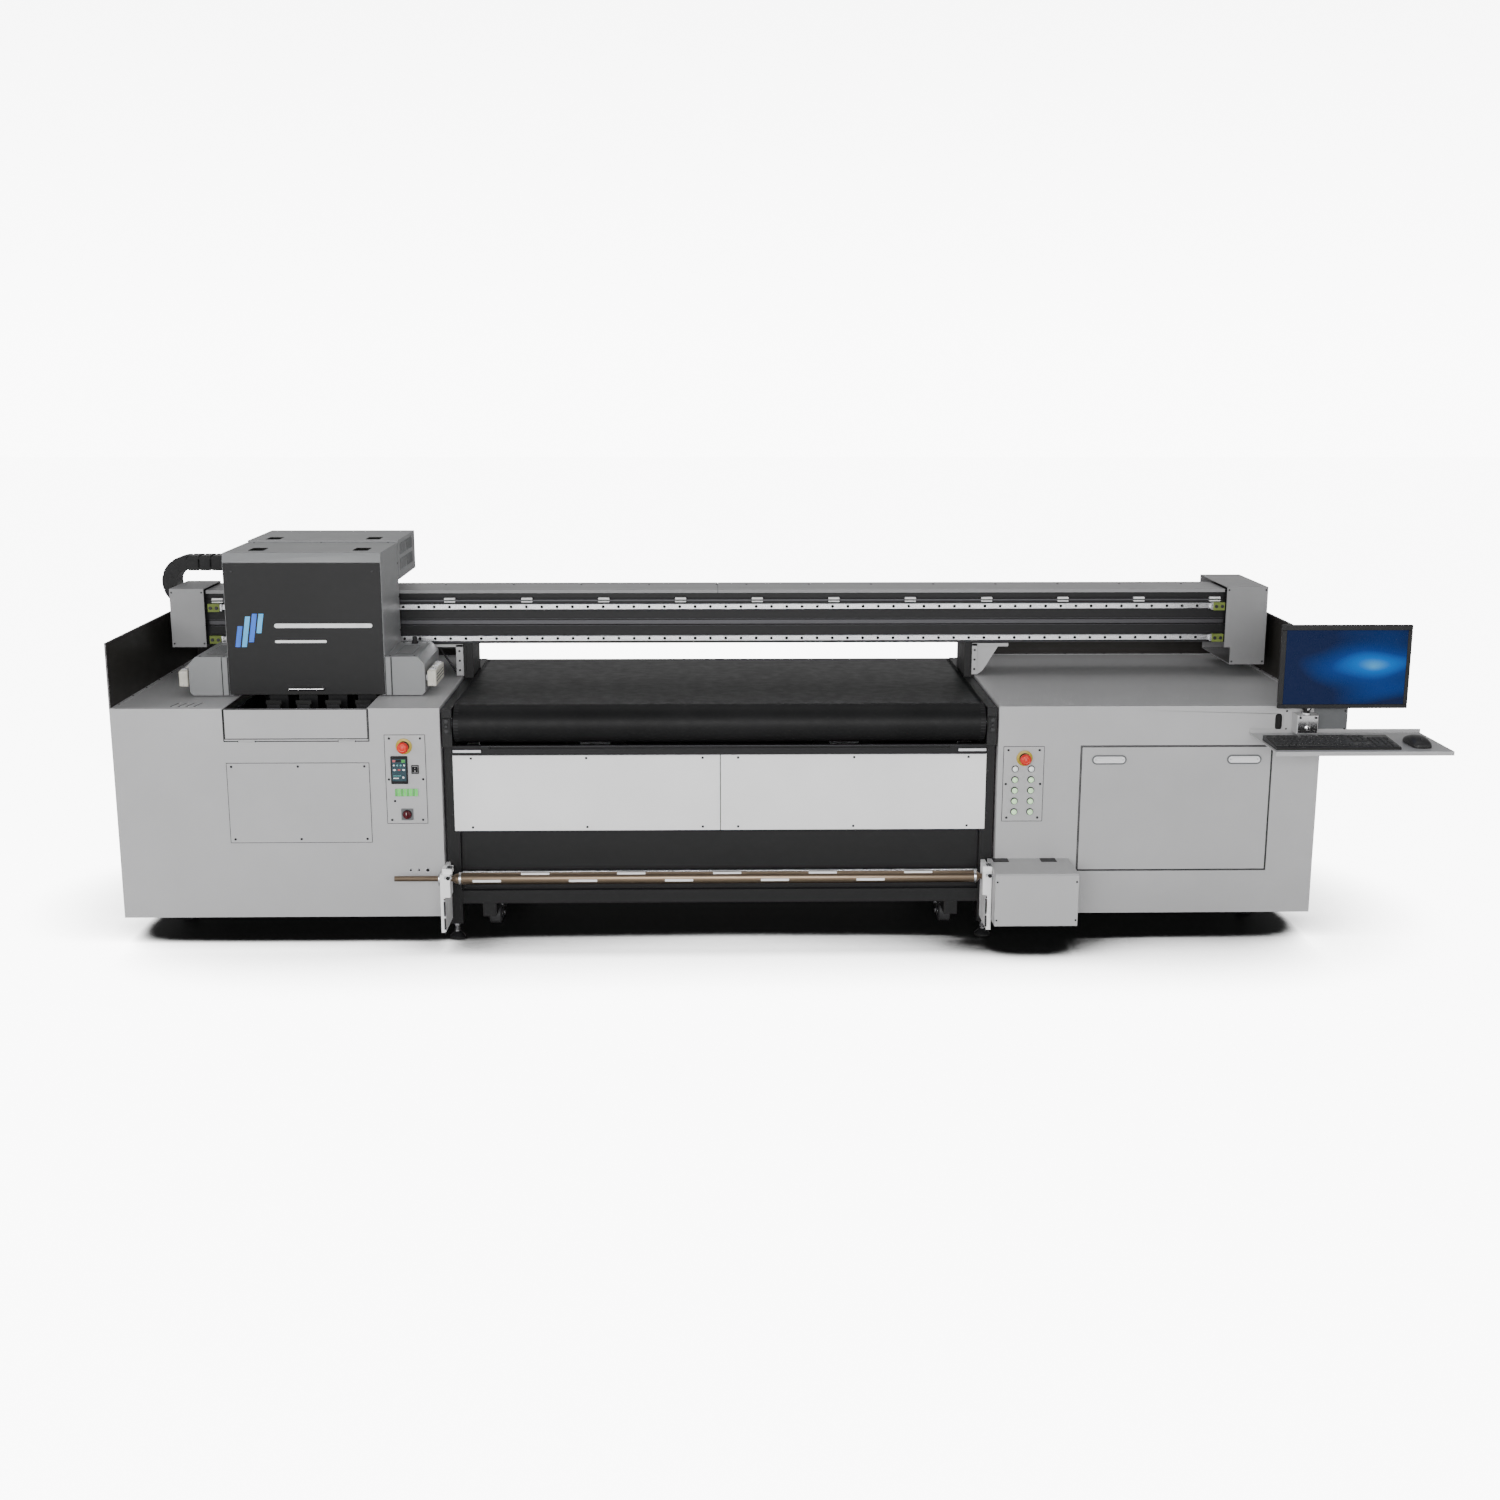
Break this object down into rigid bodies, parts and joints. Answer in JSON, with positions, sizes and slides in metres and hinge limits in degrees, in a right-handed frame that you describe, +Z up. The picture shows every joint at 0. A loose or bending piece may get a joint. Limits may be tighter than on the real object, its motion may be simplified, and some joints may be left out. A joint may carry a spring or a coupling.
{
  "type": "flatbed uv printer",
  "caption": "Wide hybrid UV printer: belt bed between two cabinets, gantry beam with a print carriage, roll take-up shaft, guard walls and an operator screen.",
  "frame": {"origin": "middle of the whole machine's box in plan, on the floor", "axes": "+X along the gantry beam to the operator's right, -Y towards the operator, +Z up"},
  "size_m": [4.8, 1.614, 1.425],
  "materials": {
    "light_grey": "fine textured powder coat",
    "dark_grey": "satin powder coat",
    "white": "gloss powder coat",
    "black": "matt powder coat",
    "belt": "matt woven-backed belt",
    "aluminium": "anodised",
    "anodised_dark": "dark anodised extrusion",
    "steel": "ground",
    "olive": "moulded polyurethane",
    "bronze": "bronze anodised",
    "cream": "moulded",
    "black_plastic": "fine texture",
    "red_plastic": "gloss",
    "green_lens": "frosted lens",
    "wheel": "nylon wheel",
    "chrome": "polished",
    "tank": "translucent polyethylene"
  },
  "bodies": {
    "machine": {"base_frame": "dark_grey", "left_cabinet": "light_grey", "right_cabinet": "light_grey", "cover_plates": "light_grey", "front_panels": "white", "media_guides": "anodised_dark", "gantry_posts": "dark_grey", "conveyor_belt": "belt", "vacuum_bed": "aluminium", "gantry_beam": "anodised_dark", "beam_covers": "light_grey", "linear_rails": "steel", "rail_bumpers": "olive", "encoder_strip": "aluminium", "guard_panels": "dark_grey", "capping_station": "black", "ink_tanks": "tank", "levelling_feet": "black", "caster_forks": "dark_grey", "shaft_brackets": "white", "drive_box": "light_grey", "cable_chain_lower": "black_plastic", "chain_tray": "dark_grey", "instruments": "black_plastic", "panel_screws": "steel", "keyboard_shelf": "light_grey", "keyboard_and_mouse": "black_plastic"},
    "carriage_slide": {"carriage_plate": "aluminium", "carriage_rear_box": "light_grey", "cable_chain_upper": "black_plastic"},
    "carriage": {"carriage_housing": "light_grey", "print_heads": "steel", "uv_lamps": "light_grey", "ion_bars": "cream"},
    "carriage_door": {"carriage_door": "black"},
    "chain_loop": {"cable_chain_loop": "black_plastic"},
    "takeup_shaft": {"takeup_shaft": "bronze"},
    "feed_shaft": {"feed_shaft": "bronze"},
    "front_roller": {"front_roller": "steel"},
    "rear_roller": {"rear_roller": "steel"},
    "front_flap": {"front_flap": "light_grey"},
    "ink_door": {"ink_door": "light_grey"},
    "monitor_arm": {"monitor_arm": "black"},
    "monitor": {"monitor": "black_plastic"},
    "estop_left": {"estop_left": "red_plastic"},
    "estop_right": {"estop_right": "red_plastic"},
    "main_switch": {"main_switch": "red_plastic"},
    "rocker_switch": {"rocker_switch": "black_plastic"},
    "caster_wheel_1": {"caster_wheel_1": "wheel"},
    "caster_wheel_2": {"caster_wheel_2": "wheel"},
    "caster_wheel_3": {"caster_wheel_3": "wheel"},
    "caster_wheel_4": {"caster_wheel_4": "wheel"},
    "push_button_1": {"push_button_1": "green_lens"},
    "push_button_2": {"push_button_2": "green_lens"},
    "push_button_3": {"push_button_3": "green_lens"},
    "push_button_4": {"push_button_4": "green_lens"},
    "push_button_5": {"push_button_5": "green_lens"},
    "push_button_6": {"push_button_6": "green_lens"},
    "push_button_7": {"push_button_7": "green_lens"},
    "push_button_8": {"push_button_8": "green_lens"}
  },
  "joints": [
    {"name": "carriage_travel", "type": "slide", "parent": "machine", "child": "carriage_slide", "axis": [1, 0, 0], "range_m": [0, 3], "deforming": ["cable_chain_upper", "cable_chain_lower"]},
    {"name": "chain_travel", "type": "slide", "parent": "carriage_slide", "child": "chain_loop", "axis": [1, 0, 0], "range_m": [-1.5, 0]},
    {"name": "carriage_lift", "type": "slide", "parent": "carriage_slide", "child": "carriage", "axis": [0, 0, 1], "range_m": [0, 0.06]},
    {"name": "carriage_door_hinge", "type": "hinge", "parent": "carriage", "child": "carriage_door", "pos_m": [-0.156, -0.254, 1.384], "axis": [-1, 0, 0], "range_deg": [0, 110]},
    {"name": "front_flap_hinge", "type": "hinge", "parent": "machine", "child": "front_flap", "pos_m": [-0.156, -0.483, 0.765], "axis": [1, 0, 0], "range_deg": [0, 95]},
    {"name": "ink_door_hinge", "type": "hinge", "parent": "machine", "child": "ink_door", "pos_m": [-0.156, -0.483, 0.265], "axis": [1, 0, 0], "range_deg": [0, 90]},
    {"name": "takeup_shaft_spin", "type": "hinge", "parent": "machine", "child": "takeup_shaft", "pos_m": [-0.156, -0.588, 0.277], "axis": [1, 0, 0], "continuous": true},
    {"name": "feed_shaft_spin", "type": "hinge", "parent": "machine", "child": "feed_shaft", "pos_m": [-0.156, 0.772, 0.277], "axis": [1, 0, 0], "continuous": true},
    {"name": "front_roller_spin", "type": "hinge", "parent": "machine", "child": "front_roller", "pos_m": [-0.156, -0.413, 0.815], "axis": [1, 0, 0], "continuous": true},
    {"name": "rear_roller_spin", "type": "hinge", "parent": "machine", "child": "rear_roller", "pos_m": [-0.156, 0.564, 0.815], "axis": [1, 0, 0], "continuous": true},
    {"name": "monitor_swivel", "type": "hinge", "parent": "machine", "child": "monitor_arm", "pos_m": [1.964, -0.529, 1], "axis": [0, 0, 1], "range_deg": [-20, 20]},
    {"name": "monitor_tilt", "type": "hinge", "parent": "monitor_arm", "child": "monitor", "pos_m": [2.074, -0.531, 1.047], "axis": [-1, 0, 0], "range_deg": [0, 15]},
    {"name": "estop_left_press", "type": "slide", "parent": "machine", "child": "estop_left", "axis": [0, 1, 0], "range_m": [0, 0.004], "stiffness_N_per_m": 2500},
    {"name": "estop_right_press", "type": "slide", "parent": "machine", "child": "estop_right", "axis": [0, 1, 0], "range_m": [0, 0.004], "stiffness_N_per_m": 2500},
    {"name": "main_switch_turn", "type": "hinge", "parent": "machine", "child": "main_switch", "pos_m": [-1.298, -0.493, 0.4915], "axis": [0, 1, 0], "range_deg": [0, 90]},
    {"name": "rocker_switch_tip", "type": "hinge", "parent": "machine", "child": "rocker_switch", "pos_m": [-1.2635, -0.488, 0.659], "axis": [-1, 0, 0], "range_deg": [0, 12]},
    {"name": "push_button_1_press", "type": "slide", "parent": "machine", "child": "push_button_1", "axis": [0, 1, 0], "range_m": [0, 0.003], "stiffness_N_per_m": 1200},
    {"name": "push_button_2_press", "type": "slide", "parent": "machine", "child": "push_button_2", "axis": [0, 1, 0], "range_m": [0, 0.003], "stiffness_N_per_m": 1200},
    {"name": "push_button_3_press", "type": "slide", "parent": "machine", "child": "push_button_3", "axis": [0, 1, 0], "range_m": [0, 0.003], "stiffness_N_per_m": 1200},
    {"name": "push_button_4_press", "type": "slide", "parent": "machine", "child": "push_button_4", "axis": [0, 1, 0], "range_m": [0, 0.003], "stiffness_N_per_m": 1200},
    {"name": "push_button_5_press", "type": "slide", "parent": "machine", "child": "push_button_5", "axis": [0, 1, 0], "range_m": [0, 0.003], "stiffness_N_per_m": 1200},
    {"name": "push_button_6_press", "type": "slide", "parent": "machine", "child": "push_button_6", "axis": [0, 1, 0], "range_m": [0, 0.003], "stiffness_N_per_m": 1200},
    {"name": "push_button_7_press", "type": "slide", "parent": "machine", "child": "push_button_7", "axis": [0, 1, 0], "range_m": [0, 0.003], "stiffness_N_per_m": 1200},
    {"name": "push_button_8_press", "type": "slide", "parent": "machine", "child": "push_button_8", "axis": [0, 1, 0], "range_m": [0, 0.003], "stiffness_N_per_m": 1200},
    {"name": "caster_wheel_1_spin", "type": "hinge", "parent": "machine", "child": "caster_wheel_1", "pos_m": [-1.014, -0.258, 0.042], "axis": [1, 0, 0], "continuous": true},
    {"name": "caster_wheel_2_spin", "type": "hinge", "parent": "machine", "child": "caster_wheel_2", "pos_m": [0.702, -0.258, 0.042], "axis": [1, 0, 0], "continuous": true},
    {"name": "caster_wheel_3_spin", "type": "hinge", "parent": "machine", "child": "caster_wheel_3", "pos_m": [-1.014, 0.442, 0.042], "axis": [1, 0, 0], "continuous": true},
    {"name": "caster_wheel_4_spin", "type": "hinge", "parent": "machine", "child": "caster_wheel_4", "pos_m": [0.702, 0.442, 0.042], "axis": [1, 0, 0], "continuous": true}
  ],
  "couplings": [
    {"joint": "chain_travel", "follows": "carriage_travel", "ratio": -0.5},
    {"joint": "rear_roller_spin", "follows": "front_roller_spin", "ratio": 1}
  ]
}
